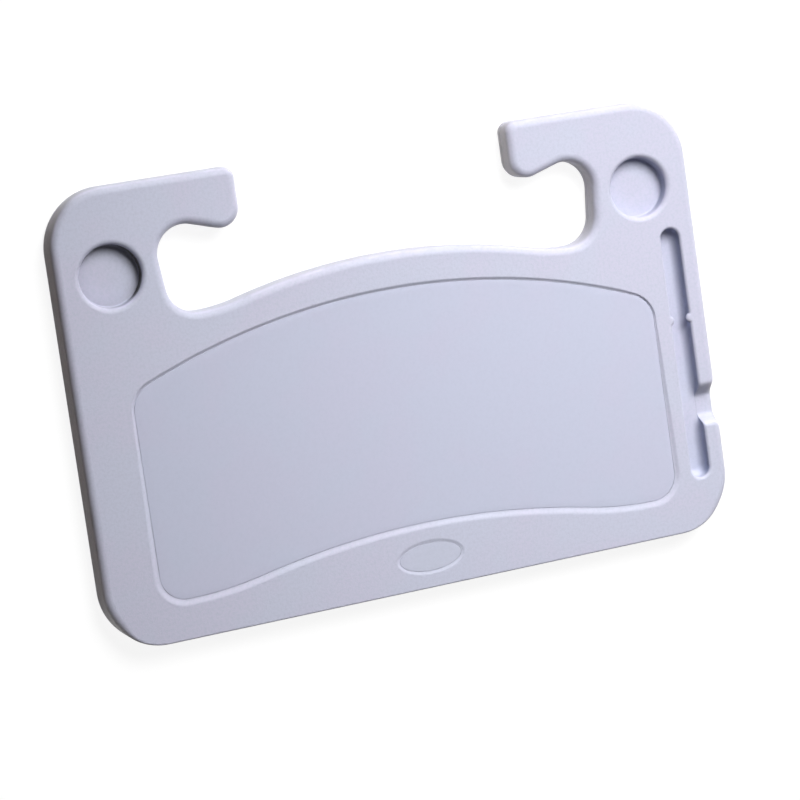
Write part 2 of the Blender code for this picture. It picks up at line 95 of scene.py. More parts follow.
def moved_corners(corners, inset):
    """Each corner moved in by inset: its place, turn, direction and two radii."""
    moved = []
    for i, (x, y, radius) in enumerate(corners):
        before, after = corners[i - 1], corners[(i + 1) % len(corners)]
        into = math.atan2(y - before[1], x - before[0])
        turn = math.remainder(math.atan2(after[1] - y, after[0] - x) - into, math.tau)
        reach = inset / math.cos(turn / 2)
        middle = into + turn / 2 + math.pi / 2
        place = (x + reach * math.cos(middle), y + reach * math.sin(middle))
        inner = max(radius - inset * math.copysign(1, turn), 0)
        moved.append((place, turn, into, inner, radius))
    return moved


def rounded(corners, inset=0.0):
    """Points of a closed outline through corners (x, y, radius), moved in by inset."""
    points = []
    for (x, y), turn, into, inner, radius in moved_corners(corners, inset):
        side = math.copysign(math.pi / 2, turn)
        cut = inner * math.tan(abs(turn) / 2)
        centre_x = x - cut * math.cos(into) + inner * math.cos(into + side)
        centre_y = y - cut * math.sin(into) + inner * math.sin(into + side)
        steps = arc_steps(turn, radius)
        for k in range(steps + 1):
            angle = into - side + turn * k / steps
            across, along = inner * math.cos(angle), inner * math.sin(angle)
            points.append((centre_x + across, centre_y + along))
    return points


print("points on a corner of the tray:", arc_steps(math.pi / 2, CORNER_RADIUS) + 1)

# %% [markdown]
# Three helpers place the corners. The tray is the same on both sides, so only the
# right half is listed. An arch is known by the height of its crown, and a corner often
# is the place where two measured edges would meet.


# %% Helpers for the corner lists
def both_sides(right_corners):
    """Corners of the right half, then their mirror images."""
    return right_corners + [(-x, y, r) for x, y, r in reversed(right_corners) if x]


def crown(height, radius, slope):
    """Height of the sharp corner whose arc tops out at height."""
    return height + radius * (1 / math.cos(slope) - 1)


def crossing(first, first_angle, second, second_angle):
    """Where two lines meet, each given by a point and an angle."""
    ax, ay = math.cos(first_angle), math.sin(first_angle)
    bx, by = math.cos(second_angle), math.sin(second_angle)
    gap_x, gap_y = second[0] - first[0], second[1] - first[1]
    run = (gap_x * by - gap_y * bx) / (ax * by - ay * bx)
    return first[0] + run * ax, first[1] + run * ay


# %% [markdown]
# ## The tray's own outline
#
# Two hooks reach in over the wheel's rim. Under each tip the edge slopes up into a
# round bowl that takes the rim, and a flat arch joins the bowls. Along the right
# side the outline gets extra points, a millimetre apart, where the finger notch will
# sink the edge later.

# %% Corners of the tray
HOOK_TIP = (89.5, 100.3)
HOOK_TOP_RADIUS, HOOK_TIP_RADIUS = 7, 12
THROAT_SLOPE = math.radians(17)
BOWL_SIDE, BOWL_LEAN = (144.7, 100.3), math.radians(84.2)
BOWL_FLOOR = 56.5
BOWL_TOP_RADIUS, BOWL_FOOT_RADIUS = 17.8, 18.5
ARCH_CROWN, ARCH_RADIUS, ARCH_FOOT_RADIUS = 72.3, 385, 100
ARCH_SLOPE = math.radians(14.44)


def tray_corners():
    bowl_top = crossing(HOOK_TIP, THROAT_SLOPE, BOWL_SIDE, BOWL_LEAN)
    bowl_foot = crossing((0, BOWL_FLOOR), 0, BOWL_SIDE, BOWL_LEAN)
    arch = crown(ARCH_CROWN, ARCH_RADIUS, ARCH_SLOPE)
    arch_foot = crossing((0, arch), -ARCH_SLOPE, (0, BOWL_FLOOR), 0)
    right = [
        (RIGHT, -TOP, CORNER_RADIUS),
        (RIGHT, TOP, CORNER_RADIUS),
        (HOOK_TIP[0], TOP, HOOK_TOP_RADIUS),
        (*HOOK_TIP, HOOK_TIP_RADIUS),
        (*bowl_top, BOWL_TOP_RADIUS),
        (*bowl_foot, BOWL_FOOT_RADIUS),
        (*arch_foot, ARCH_FOOT_RADIUS),
        (0, arch, ARCH_RADIUS),
    ]
    return both_sides(right)


TRAY_CORNERS = tray_corners()
print("corners of the tray:", len(TRAY_CORNERS))

# %% The outline, with the notch's points
NOTCH_YS = [float(y) for y in range(-86, -37)]
SIDE_START = arc_steps(math.pi / 2, CORNER_RADIUS) + 1


def tray_outline(inset=0.0):
    points = rounded(TRAY_CORNERS, inset)
    side = [(RIGHT - inset, y) for y in NOTCH_YS]
    return points[:SIDE_START] + side + points[SIDE_START:]


print("points round the tray:", len(tray_outline()))

# %% [markdown]
# ## Outlines of what is let into the tray
#
# The sheet has an arched top and an arched lower edge. The cups are circles, the
# trough is two half circles joined by straight sides, and the badge seat is an
# ellipse. The trough's straight sides get extra points too: for the notch, and for
# the two small nubs that hold a pen down.

# %% The sheet's outline
PANEL_SIDE, PANEL_FOOT = 174.7, -117.6
PANEL_CROWN, PANEL_TOP_RADIUS = 51.2, 437
PANEL_RISE, PANEL_RISE_RADIUS, PANEL_DIP_RADIUS = -101, 510, 210
PANEL_CORNER_RADIUS, PANEL_SHOULDER_RADIUS = 17.8, 20
PANEL_TOP_SLOPE = math.radians(21.5)
PANEL_FOOT_SLOPE = math.radians(11.3)


def panel_corners():
    top = crown(PANEL_CROWN, PANEL_TOP_RADIUS, PANEL_TOP_SLOPE)
    shoulder = crossing((0, top), -PANEL_TOP_SLOPE, (PANEL_SIDE, 0), math.pi / 2)
    rise = crown(PANEL_RISE, PANEL_RISE_RADIUS, PANEL_FOOT_SLOPE)
    dip = crossing((0, rise), -PANEL_FOOT_SLOPE, (0, PANEL_FOOT), 0)
    right = [
        (0, rise, PANEL_RISE_RADIUS),
        (*dip, PANEL_DIP_RADIUS),
        (PANEL_SIDE, PANEL_FOOT, PANEL_CORNER_RADIUS),
        (*shoulder, PANEL_SHOULDER_RADIUS),
        (0, top, PANEL_TOP_RADIUS),
    ]
    return both_sides(right)


PANEL_CORNERS = panel_corners()


def panel_outline(inset=0.0):
    return rounded(PANEL_CORNERS, inset)


print("points round the sheet:", len(panel_outline()))

# %% The badge's and the trough's outline
NUB_Y = -2.5
NUB_YS = [NUB_Y + step / 2 for step in range(-8, 9)]
BADGE_POINTS, TROUGH_END_STEPS = 120, 36


def ellipse(centre, half_x, half_y, count):
    """Points of an ellipse, anticlockwise."""
    x, y = centre
    turns = [math.tau * i / count for i in range(count)]
    return [(x + half_x * math.cos(t), y + half_y * math.sin(t)) for t in turns]


def badge_outline(inset=0.0):
    half_x, half_y = BADGE_HALVES
    return ellipse(BADGE_CENTRE, half_x - inset, half_y - inset, BADGE_POINTS)


def trough_outline(inset=0.0):
    reach = TROUGH_RADIUS - inset
    low, high = TROUGH_LOW + TROUGH_RADIUS, TROUGH_HIGH - TROUGH_RADIUS
    angles = [math.pi * k / TROUGH_END_STEPS for k in range(TROUGH_END_STEPS + 1)]
    ends = [(reach * math.cos(a), reach * math.sin(a)) for a in angles]
    points = [(TROUGH_X + x, high + y) for x, y in ends]
    points += [(TROUGH_X - reach, y) for y in reversed(NUB_YS)]
    points += [(TROUGH_X - x, low - y) for x, y in ends]
    return points + [(TROUGH_X + reach, y) for y in NOTCH_YS + NUB_YS]


print("points round the trough:", len(trough_outline()))

# %% [markdown]
# ## Walls and flats
#
# A round edge could come from the Bevel modifier, but where walls of different
# heights run into each other it often leaves pinched faces. Here every wall is a
# pile of outlines, and a quarter round is eight outlines more. Flat areas are then
# filled between their outlines. A narrow flat border runs beside each round, so the
# shading of the round never bleeds into the flat.

# %% Rounds and soft steps
ROUND_STEPS = 8
FLAT_MARGIN = 0.25


def ease(share):
    """A soft S from nought to one."""
    share = min(max(share, 0), 1)
    return share * share * (3 - 2 * share)


def convex(radius):
    """Inset and drop along the round edge of a face, from its wall to the face."""
    angles = [math.pi / 2 * k / ROUND_STEPS for k in range(ROUND_STEPS + 1)]
    return [(radius * (1 - math.cos(a)), radius * (1 - math.sin(a))) for a in angles]


def soft_step(width, depth):
    """Inset and height of a step that leaves the face and lands in a soft S."""
    shares = [k / ROUND_STEPS for k in range(ROUND_STEPS + 1)]
    return [(-width * (1 - share), FACE - depth * ease(share)) for share in shares]


print("outlines in a quarter round:", len(convex(1)))


# %% Loops, walls and flats
def add_loop(mesh, points, height):
    """Vertices of one outline. The height is one number, or one for each point."""
    heights = height if isinstance(height, list) else [height] * len(points)
    pairs = zip(points, heights)
    return [mesh.verts.new((x * MM, y * MM, z * MM)) for (x, y), z in pairs]


def wall(mesh, loops):
    """Quads from loop to loop. They look out on the way up and in on the way down."""
    for first, second in zip(loops, loops[1:]):
        for i in range(len(first)):
            mesh.faces.new((first[i - 1], first[i], second[i], second[i - 1]))


def pile(mesh, outline_at, profile):
    """The loops at the insets and heights of a profile, joined by a wall."""
    loops = [add_loop(mesh, outline_at(inset), z) for inset, z in profile]
    wall(mesh, loops)
    return loops


def circles(centre, count):
    """Circles round one centre. In their profile, radii take the place of insets."""
    return lambda radius: ellipse(centre, radius, radius, count)


def flat(mesh, loops, up, skip=(), ties=()):
    """Fill the flat area between loops. An edge with both ends in skip is left out."""
    edges = list(ties)
    left_out = set(skip)
    for loop in loops:
        for i in range(len(loop)):
            pair = (loop[i - 1], loop[i])
            if not left_out.issuperset(pair):
                edges.append(mesh.edges.get(pair) or mesh.edges.new(pair))
    made = bmesh.ops.triangle_fill(mesh, use_beauty=True, edges=edges, normal=(0, 0, 1))
    for face in made["geom"]:
        if isinstance(face, bmesh.types.BMFace):
            face.normal_update()
            if (face.normal.z > 0) != up:
                face.normal_flip()


# %% [markdown]
# A finished mesh becomes an object, and every object rides on the tray's only body.
# The two shells are drawn as one open skin each. The Solidify modifier gives them
# their second skin behind, as the mould's core does.

# %% From mesh to piece
SHARP = math.radians(40)


def new_piece(name, mesh):
    """A shaded object from a mesh, riding on the tray's only body."""
    data = bpy.data.meshes.new(name)
    mesh.normal_update()
    mesh.to_mesh(data)
    mesh.free()
    data.shade_smooth()
    data.set_sharp_from_angle(angle=SHARP)
    piece = bpy.data.objects.new(name, data)
    bpy.context.scene.collection.objects.link(piece)
    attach(piece, "root")
    print(name, "faces:", len(data.polygons))
    return piece


def thicken(piece):
    """Turn an open surface into a wall: the second skin lies behind the first."""
    step = piece.modifiers.new("wall thickness", "SOLIDIFY")
    step.thickness = SKIN * MM
    step.offset = -1
    step.use_even_offset = True
    return piece


# %% [markdown]
# ## The finger notch and the nubs
#
# The notch lets a finger get under the pen. It is cut through the wall between the
# trough and the tray's side, and both its ends flow down in a soft S. A Boolean cut
# would leave hard corners where it meets the round edges. So the points of that wall
# are sunk instead, by a depth that depends on how far along the wall they are, and
# the rounds beside them shrink with it. The nubs are made by the same trick: points
# of the trough's walls move towards its middle inside a small ellipse.

# %% Depth of the notch and reach of the nubs
EDGE_ROUND = 4.8
NOTCH_DEPTH, NOTCH_SQUEEZE = 9.3, 0.5
NOTCH_LOW, NOTCH_HIGH = -74.3, -45.5
NOTCH_LOW_SLOPE, NOTCH_HIGH_SLOPE = 7.6, 10.5
NOTCH_LOW_FLARE, NOTCH_HIGH_FLARE = 6.0, 3.5
NUB_REACH, NUB_HALF_LENGTH, NUB_HALF_HEIGHT = 2.3, 3.0, 2.4
NUB_Z, NUB_POWER = 16.4, 0.7


def notch_depth(x, y):
    """How far the wall is sunk here. The mouth flares out towards the tray's side."""
    across = min(max(1 - (RIGHT - x) / EDGE_ROUND, 0), 1)
    flare = 1 - math.sqrt(1 - across * across)
    low = NOTCH_LOW - NOTCH_LOW_FLARE * flare
    high = NOTCH_HIGH + NOTCH_HIGH_FLARE * flare
    from_low = (y - low) / (NOTCH_LOW_SLOPE + NOTCH_LOW_FLARE * flare)
    from_high = (high - y) / (NOTCH_HIGH_SLOPE + NOTCH_HIGH_FLARE * flare)
    return NOTCH_DEPTH * min(ease(from_low), ease(from_high))


def sunk_trough(points, z):
    """Heights of a loop of the trough, sunk on its outer side by the notch."""
    deep = FACE - POCKET_FLOOR
    heights = []
    for x, y in points:
        sink = notch_depth(x, y) if x > TROUGH_X else 0
        heights.append(POCKET_FLOOR + (z - POCKET_FLOOR) * (deep - sink) / deep)
    return heights


def with_nubs(points, z):
    """The same points, with the trough's walls pushed in at the nubs."""
    pushed = []
    for x, y in points:
        along, up = (y - NUB_Y) / NUB_HALF_LENGTH, (z - NUB_Z) / NUB_HALF_HEIGHT
        far = math.hypot(along, up)
        push = NUB_REACH * (1 - far * far) ** NUB_POWER if far < 1 else 0
        pushed.append((x - math.copysign(push, x - TROUGH_X), y))
    return pushed


print("deepest notch:", max(notch_depth(TROUGH_X, y) for y in NOTCH_YS), "mm")

# %% [markdown]
# ## The tray's edge and the step round the sheet
#
# The tray's edge has a broad round that is easy on the hands. Along the lower side it
# is drawn narrow, because the photograph shows no shaded band there. The tray's left
# wall leans in a little towards the face, as it has to where a shell leaves its mould.
#
# The step down to the sheet is gentle along its foot, steeper along the top and the
# left, and steepest on the right, where the photograph shows a thin dark line. One
# inset for the whole outline couldn't do that. So each point gets its own, by where
# it lies.

# %% Loops of the edge and of the step
LOWER_ROUND, LOWER_REACH = 1.2, 17.0
LEAN, LEAN_FROM, LEAN_RUN = 1.4, 190.0, 18.0
PANEL_INSET, PANEL_ROLL = 1.6, 0.13
STEP_STEEP, STEP_NARROW, STEP_WIDE = 1.2, 2.1, 4.3
STEP_FOOT, STEP_RUN, STEEP_FROM, STEEP_RUN = -112.0, 60.0, 150.0, 20.0


def edge_loop(mesh, inset, drop):
    """A loop round the tray's edge. Inset and drop are shares of the edge's round."""
    points, heights = [], []
    for (x, y), (inner_x, inner_y) in zip(tray_outline(), tray_outline(EDGE_ROUND)):
        size = LOWER_ROUND + (EDGE_ROUND - LOWER_ROUND) * ease((y + TOP) / LOWER_REACH)
        lean = LEAN * ease((-x - LEAN_FROM) / LEAN_RUN)
        share = (inset * size + lean) / EDGE_ROUND
        x, y = x + share * (inner_x - x), y + share * (inner_y - y)
        sink = notch_depth(x, y) if x > TROUGH_X + TROUGH_RADIUS else 0
        squeeze = 1 - NOTCH_SQUEEZE * sink / NOTCH_DEPTH
        points.append((x, y))
        heights.append(FACE - sink - drop * size * squeeze)
    return add_loop(mesh, points, heights)


def step_loop(mesh, share, border, z):
    """A loop of the step round the sheet. Share is nought at its foot, one at its top."""
    points = []
    foot, further = panel_outline(PANEL_INSET), panel_outline(PANEL_INSET - 1)
    for (x, y), (out_x, out_y) in zip(foot, further):
        up = ease((y - STEP_FOOT) / STEP_RUN)
        side = up * ease((x - STEEP_FROM) / STEEP_RUN)
        width = STEP_WIDE + up * (STEP_NARROW - STEP_WIDE)
        reach = border + share * (width + side * (STEP_STEEP - width))
        points.append((x + reach * (out_x - x), y + reach * (out_y - y)))
    return add_loop(mesh, points, z)


# %% [markdown]
# ## Pockets of the front shell
#
# Each pocket is a wall that leaves the face in a round or a soft step, and a floor.
# The cups have a small round at their foot and the trough a large one, so that a
# finger can roll the pen out. The recesses for the sheet and for the oval plate end in
# a seat, which the plates hide.


# %% A pocket's wall and floor
def pocket_profile(mouth, foot, levels=()):
    """Inset and height down a pocket's wall, from the face to the floor."""
    profile = [(-mouth - FLAT_MARGIN, FACE)]
    for inset, drop in reversed(convex(mouth)):
        profile.append((-inset, FACE - drop))
    profile += [(0, z) for z in levels]
    for inset, drop in convex(foot):
        profile.append((inset, POCKET_FLOOR + drop))
    profile.append((foot + FLAT_MARGIN, POCKET_FLOOR))
    return profile


def close_pocket(mesh, loops):
    """Fill the floor of a pocket. Returns its mouth."""
    flat(mesh, [loops[-1]], up=True)
    return loops[0]


# %% Cups and trough
CUP_MOUTH, CUP_FOOT, CUP_POINTS = 3.2, 1.0, 128
TROUGH_MOUTH, TROUGH_FOOT = 1.9, 4.5
NUB_LEVELS = [16 - step / 2 for step in range(7)]


def cup(mesh, centre):
    profile = pocket_profile(CUP_MOUTH, CUP_FOOT)
    profile = [(CUP_RADIUS - inset, z) for inset, z in profile]
    return close_pocket(mesh, pile(mesh, circles(centre, CUP_POINTS), profile))


def trough(mesh):
    loops = []
    for inset, z in pocket_profile(TROUGH_MOUTH, TROUGH_FOOT, NUB_LEVELS):
        points = trough_outline(inset)
        loops.append(add_loop(mesh, with_nubs(points, z), sunk_trough(points, z)))
    wall(mesh, loops)
    return close_pocket(mesh, loops)


# %% Recesses for the two plates
BADGE_INSET, BADGE_STEP = 0.9, 2.4


def sheet_recess(mesh):
    loops = [step_loop(mesh, 1, FLAT_MARGIN, FACE)]
    for inset, z in soft_step(1, FACE - SHEET_FACE + PANEL_ROLL):
        loops.append(step_loop(mesh, -inset, 0, z))
    loops.append(add_loop(mesh, panel_outline(PANEL_INSET), SHEET_SEAT))
    wall(mesh, loops)
    return close_pocket(mesh, loops)


def badge_recess(mesh):
    profile = [(BADGE_INSET - BADGE_STEP - FLAT_MARGIN, FACE)]
    for inset, z in soft_step(BADGE_STEP, FACE - BADGE_FACE):
        profile.append((BADGE_INSET + inset, z))
    profile.append((BADGE_INSET, BADGE_SEAT))
    return close_pocket(mesh, pile(mesh, badge_outline, profile))


# %% [markdown]
# ## Front shell
#
# The front shell is one skin: up the side wall, round the edge, across the face and
# down into each pocket. Beside the notch the face isn't flat, so a strip of its own
# joins the tray's edge to the trough's mouth there, and the flat fill goes round it.


# %% The side wall, and the strip beside the notch
def side_wall(mesh):
    """The skin from the seam up the wall and round the edge. Returns its last loop."""
    foot = SEAM + SEAM_GAP
    loops = [add_loop(mesh, tray_outline(SEAM_ROUND), foot)]
    loops.append(add_loop(mesh, tray_outline(), foot + SEAM_ROUND))
    for inset, drop in convex(1.0) + [(1 + FLAT_MARGIN / EDGE_ROUND, 0)]:
        loops.append(edge_loop(mesh, inset, drop))
    wall(mesh, loops)
    return loops[-1]


def notch_strip(mesh, edge, mouth):
    """The strip beside the notch. Returns its outer and its inner row of points."""
    count = len(NOTCH_YS)
    first = len(mouth) - len(NUB_YS) - count
    outer = edge[SIDE_START : SIDE_START + count]
    inner = mouth[first : first + count]
    for i in range(count - 1):
        mesh.faces.new((outer[i], outer[i + 1], inner[i + 1], inner[i]))
    return outer, inner


# %% Draw the front shell
def front_shell():
    mesh = bmesh.new()
    edge = side_wall(mesh)
    mouths = [cup(mesh, (-CUP_X, CUP_Y)), cup(mesh, (CUP_X, CUP_Y))]
    trough_mouth = trough(mesh)
    mouths += [trough_mouth, sheet_recess(mesh), badge_recess(mesh)]
    outer, inner = notch_strip(mesh, edge, trough_mouth)
    ties = [mesh.edges.get((outer[end], inner[end])) for end in (0, -1)]
    flat(mesh, [edge] + mouths, up=True, skip=outer + inner, ties=ties)
    return thicken(new_piece("tray_front", mesh))


tray_front = front_shell()
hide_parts("front_shell")

# %% [markdown]
# ## Places of the screws
#
# The photograph doesn't show the back, so its layout is a guess: screws near every
# corner and hook tip, beside the sheet, along the lower edge and under the arch. The
# places are those of the CAD model, because its screws are shown in these holes.

# %% Fourteen places
SCREW_MARGIN = 15
CORNER_SCREW = CORNER_RADIUS * 0.62
SHOULDER_SHIFT, SHOULDER_DROP = 14.7, 40.5
SIDE_SCREW_INSET, SIDE_SCREW_RISE = 11.5, 121
EDGE_SCREW_X, ARCH_SCREW_X = 72, 45


def arch_screw_y(x):
    """Halfway between the tray's arch and the sheet's arched top."""
    arch = ARCH_CROWN - ARCH_RADIUS + math.sqrt(ARCH_RADIUS**2 - x**2)
    panel = PANEL_CROWN - PANEL_TOP_RADIUS + math.sqrt(PANEL_TOP_RADIUS**2 - x**2)
    return (arch + panel) / 2


SCREWS = {
    "hook_tip": (HOOK_TIP[0] + SCREW_MARGIN, TOP - SCREW_MARGIN),
    "upper_corner": (RIGHT - CORNER_SCREW, TOP - CORNER_SCREW),
    "shoulder": (CUP_X - SHOULDER_SHIFT, CUP_Y - SHOULDER_DROP),
    "side": (PANEL_SIDE - SIDE_SCREW_INSET, -TOP + SIDE_SCREW_RISE),
    "lower_corner": (RIGHT - CORNER_SCREW, -TOP + CORNER_SCREW),
    "lower_edge": (EDGE_SCREW_X, -TOP + SCREW_MARGIN),
    "arch": (ARCH_SCREW_X, arch_screw_y(ARCH_SCREW_X)),
}
SCREW_PLACES = {}
for screw, (x, y) in SCREWS.items():
    SCREW_PLACES[f"screw_{screw}_right"] = (x, y)
    SCREW_PLACES[f"screw_{screw}_left"] = (-x, y)
print("screws:", len(SCREW_PLACES))

# %% [markdown]
# ## Back shell
#
# The back shell is one skin again, from the tongue that enters the front shell, down
# the wall, and across the back. The back has a shallow field, which keeps the tray
# from rocking on a table, and a counterbored hole for each screw. Holes could be
# drilled with Booleans, but here they are small piles of circles, and the flat fill
# leaves room for them.

# %% A screw's hole
BORE_RADIUS, BORE_DEPTH, BORE_ROUND = 3.4, 3.5, 0.3
PASSAGE_RADIUS, BORE_POINTS = 1.8, 40


def bore(mesh, centre, base):
    """A counterbored hole, from its far end down to its mouth. Returns the mouth."""
    profile = [(PASSAGE_RADIUS, SEAM), (PASSAGE_RADIUS, BORE_DEPTH)]
    profile.append((BORE_RADIUS, BORE_DEPTH))
    profile += [(BORE_RADIUS + inset, base + drop) for inset, drop in convex(BORE_ROUND)]
    profile.append((BORE_RADIUS + BORE_ROUND + FLAT_MARGIN, base))
    return pile(mesh, circles(centre, BORE_POINTS), profile)[-1]


# %% The back's edge and its field
BACK_ROUND = 2.0
FIELD_INSET, FIELD_DEPTH, FIELD_ROUND = 4.0, 1.0, 0.45
TONGUE_INSET, TONGUE_TOP = 1.55, 6.2


def back_edge(mesh):
    """The skin from the back round its edge and up to the tongue. Returns its start."""
    profile = [(BACK_ROUND + FLAT_MARGIN, 0)]
    profile += reversed(convex(BACK_ROUND))
    profile += [(0, SEAM - SEAM_ROUND), (SEAM_ROUND, SEAM)]
    profile += [(TONGUE_INSET, SEAM), (TONGUE_INSET, TONGUE_TOP)]
    return pile(mesh, tray_outline, profile)[0]


def field_step(mesh):
    """The small step round the shallow field. Returns its inner and its outer loop."""
    border = FIELD_ROUND + FLAT_MARGIN
    profile = [(FIELD_INSET + border, FIELD_DEPTH)]
    for inset, drop in reversed(convex(FIELD_ROUND)):
        profile.append((FIELD_INSET + inset, FIELD_DEPTH - drop))
    for inset, drop in convex(FIELD_ROUND):
        profile.append((FIELD_INSET - inset, drop))
    profile.append((FIELD_INSET - border, 0))
    loops = pile(mesh, panel_outline, profile)
    return loops[0], loops[-1]


# %% Draw the back shell
def back_shell():
    mesh = bmesh.new()
    edge = back_edge(mesh)
    field, round_field = field_step(mesh)
    on_back, in_field = [], []
    for name, centre in SCREW_PLACES.items():
        if "_side_" in name:
            in_field.append(bore(mesh, centre, FIELD_DEPTH))
        else:
            on_back.append(bore(mesh, centre, 0))
    flat(mesh, [edge, round_field] + on_back, up=False)
    flat(mesh, [field] + in_field, up=False)
    return thicken(new_piece("tray_back", mesh))


tray_back = back_shell()
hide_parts("back_shell")

# %% [markdown]
# ## Sheet and badge plate
#
# Both are thin plates with a slightly broken upper edge. A cube scaled flat would
# have neither the arched outline nor the edge, so they are piles of outlines too.
# The last millimetres of each plate roll down by a hair, as a punched sheet does. That
# is what gives the line round the sheet a dark and a bright side. A gap of a hair's
# width stays open round each plate, and draws it with a thin dark line.

# %% A plate
PLATE_EDGE, ROLL_WIDTH = 0.15, 3.6


def plate(name, outline_at, low, high, gap, roll):
    """A closed plate whose outline is inset by gap, and whose rim sinks by roll."""
    edge = PLATE_EDGE
    profile = [(gap + edge, low), (gap, low + edge)]
    profile += [(gap + inset, high - roll - drop) for inset, drop in convex(edge)]
    for k in range(1, ROUND_STEPS + 1):
        share = k / ROUND_STEPS
        z = high - roll * (1 - share) ** 2
        profile.append((gap + edge + ROLL_WIDTH * share, z))
    profile.append((gap + edge + ROLL_WIDTH + FLAT_MARGIN, high))
    mesh = bmesh.new()
    loops = pile(mesh, outline_at, profile)
    flat(mesh, [loops[0]], up=False)
    flat(mesh, [loops[-1]], up=True)
    return new_piece(name, mesh)


# %% Draw the two plates
SHEET_LOW, SHEET_GAP = 16.0, 0.16
BADGE_LOW, BADGE_GAP, BADGE_ROLL = 16.6, 0.11, 0.04

writing_sheet = plate(
    "writing_sheet",
    panel_outline,
    low=SHEET_LOW,
    high=SHEET_FACE,
    gap=PANEL_INSET + SHEET_GAP,
    roll=PANEL_ROLL,
)
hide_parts("writing_panel")
badge_oval = plate(
    "badge_oval",
    badge_outline,
    low=BADGE_LOW,
    high=BADGE_FACE,
    gap=BADGE_INSET + BADGE_GAP,
    roll=BADGE_ROLL,
)
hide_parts("badge_plate")

# %% [markdown]
# ## Shader sums written as formulas
#
# A material is a small calculation that runs at every point of a surface. Wiring it
# by hand takes a dozen lines for each sum. This class wraps one output of a node, so
# that plain signs such as + and * add the Math nodes, and one method makes any other
# node.


# %% A wire that can be added and multiplied
class Wire:
    """One output of a node."""

    def __init__(self, tree, socket):
        self.tree = tree
        self.socket = socket

    def node(self, kind, settings=None, inputs=None, output=0):
        """Any node: first its settings, then the values or wires of its inputs."""
        made = self.tree.nodes.new("ShaderNode" + kind)
        for name, value in (settings or {}).items():
            setattr(made, name, value)
        for name, value in (inputs or {}).items():
            if isinstance(value, Wire):
                self.tree.links.new(value.socket, made.inputs[name])
            else:
                made.inputs[name].default_value = value
        return Wire(self.tree, made.outputs[output])

    def math(self, operation, first, second=0):
        return self.node("Math", {"operation": operation}, {0: first, 1: second})

    def __add__(self, other):
        return self.math("ADD", self, other)

    def __radd__(self, other):
        return self.math("ADD", other, self)

    def __sub__(self, other):
        return self.math("SUBTRACT", self, other)

    def __rsub__(self, other):
        return self.math("SUBTRACT", other, self)

    def __mul__(self, other):
        return self.math("MULTIPLY", self, other)

    def __rmul__(self, other):
        return self.math("MULTIPLY", other, self)

    def __abs__(self):
        return self.math("ABSOLUTE", self)

    def larger(self, other):
        return self.math("MAXIMUM", self, other)

    def part(self, axis):
        """One part of a vector: X, Y or Z."""
        return self.node("SeparateXYZ", {}, {"Vector": self}, output=axis)

    def noise(self, size_mm, detail):
        """Soft random patches of about this size, from nought to one."""
        values = {"Vector": self, "Scale": 1 / (size_mm * MM), "Detail": detail}
        return self.node("TexNoise", {}, values)

    def step(self, low, high):
        """Nought below low, one above high, and a soft S between them."""
        settings = {"interpolation_type": "SMOOTHSTEP"}
        values = {"Value": self, "From Min": low, "From Max": high}
        return self.node("MapRange", settings, values)


# %% [markdown]
# The Mix node has sockets of the same name for numbers, vectors and colours. So its
# colour sockets are called by number. The Mix Shader's two shaders share a name too.


# %% Mixing, and an empty finish
def mix(factor, first, second):
    """A colour between two colours."""
    values = {0: factor, 6: first, 7: second}
    return factor.node("Mix", {"data_type": "RGBA"}, values, output=2)


def mix_shaders(factor, first, second):
    """A shader between two shaders."""
    return factor.node("MixShader", {}, {0: factor, 1: first, 2: second})


def shade(colour, factor=1.0):
    """A colour made darker or paler, with the fourth number that a socket wants."""
    return (*(min(factor * part, 1) for part in colour), 1)


def new_finish(name):
    """An empty material: its Principled shader and a wire with the place in the piece."""
    made = bpy.data.materials.new(name)
    made.use_nodes = True
    tree = made.node_tree
    shader = tree.nodes["Principled BSDF"]
    place = Wire(tree, tree.nodes.new("ShaderNodeTexCoord").outputs["Object"])
    return made, shader, place


def feed(shader, name, wire):
    wire.tree.links.new(wire.socket, shader.inputs[name])


# %% [markdown]
# ## Wear, and painted shade
#
# Use leaves its marks. The rims are rubbed paler and smoother, in patches. A rim is
# where the surface slants and is far from the middle of the tray's thickness.
# Pointiness could find it too, but it draws streaks along the long triangles of the
# flats.
#
# The pockets get painted shade: the colour darkens at the foot of each pocket, where
# the Ambient Occlusion node finds the point shut in. The painted shade is stronger on
# walls than on floors, and stronger and nearly black on the left, where the cup's wall
# is almost black in the photograph. Walls that face the upper right, towards the lamp,
# get almost none, and on the right half the painted shade is bluish.

# %% Where a surface is rubbed
MIDDLE, RIM_FROM, RIM_TO = 0.009, 0.0045, 0.0075
SLANTED, LEVEL = (0.05, 0.3), (0.6, 0.85)


def level(place):
    """One on flats, nought on walls."""
    return abs(place.node("TexCoord", output="Normal").part("Z"))


def rim(place, upright):
    """One on a slant near the front or the back, nought on flats and walls."""
    far = abs(place.part("Z") - MIDDLE)
    slanting = upright.step(*SLANTED) * (1 - upright.step(*LEVEL))
    return far.step(RIM_FROM, RIM_TO) * slanting


# %% Where the shade is painted
LAMP_FACING, RIGHT_HALF = (-0.4, 0.5), (-0.1, 0.1)
# The two colours of the painted shade: near black on the left, bluish grey on the right.
LEFT_PAINTED_SHADE, RIGHT_PAINTED_SHADE = (0.035, 0.031, 0.028, 1), (0.31, 0.34, 0.455, 1)
# How far the Ambient Occlusion node looks, and where its painted shade starts and is
# full.
SHADE_REACH, SHADE_FROM, SHADE_TO, SHADE_SAMPLES = 25.0, 0.08, 0.65, 12
# Shares of the painted shade: less on floors, less on walls that face the lamp, more on
# the left.
LESS_ON_FLOORS, LESS_TOWARD_LAMP, MORE_ON_LEFT = 0.5, 0.85, 1.1


def faces_lamp(place):
    """One on walls that face the upper right, towards the lamp, nought on those that face
    away.
    """
    facing = place.node("TexCoord", output="Normal")
    return (facing.part("X") + facing.part("Y")).step(*LAMP_FACING)


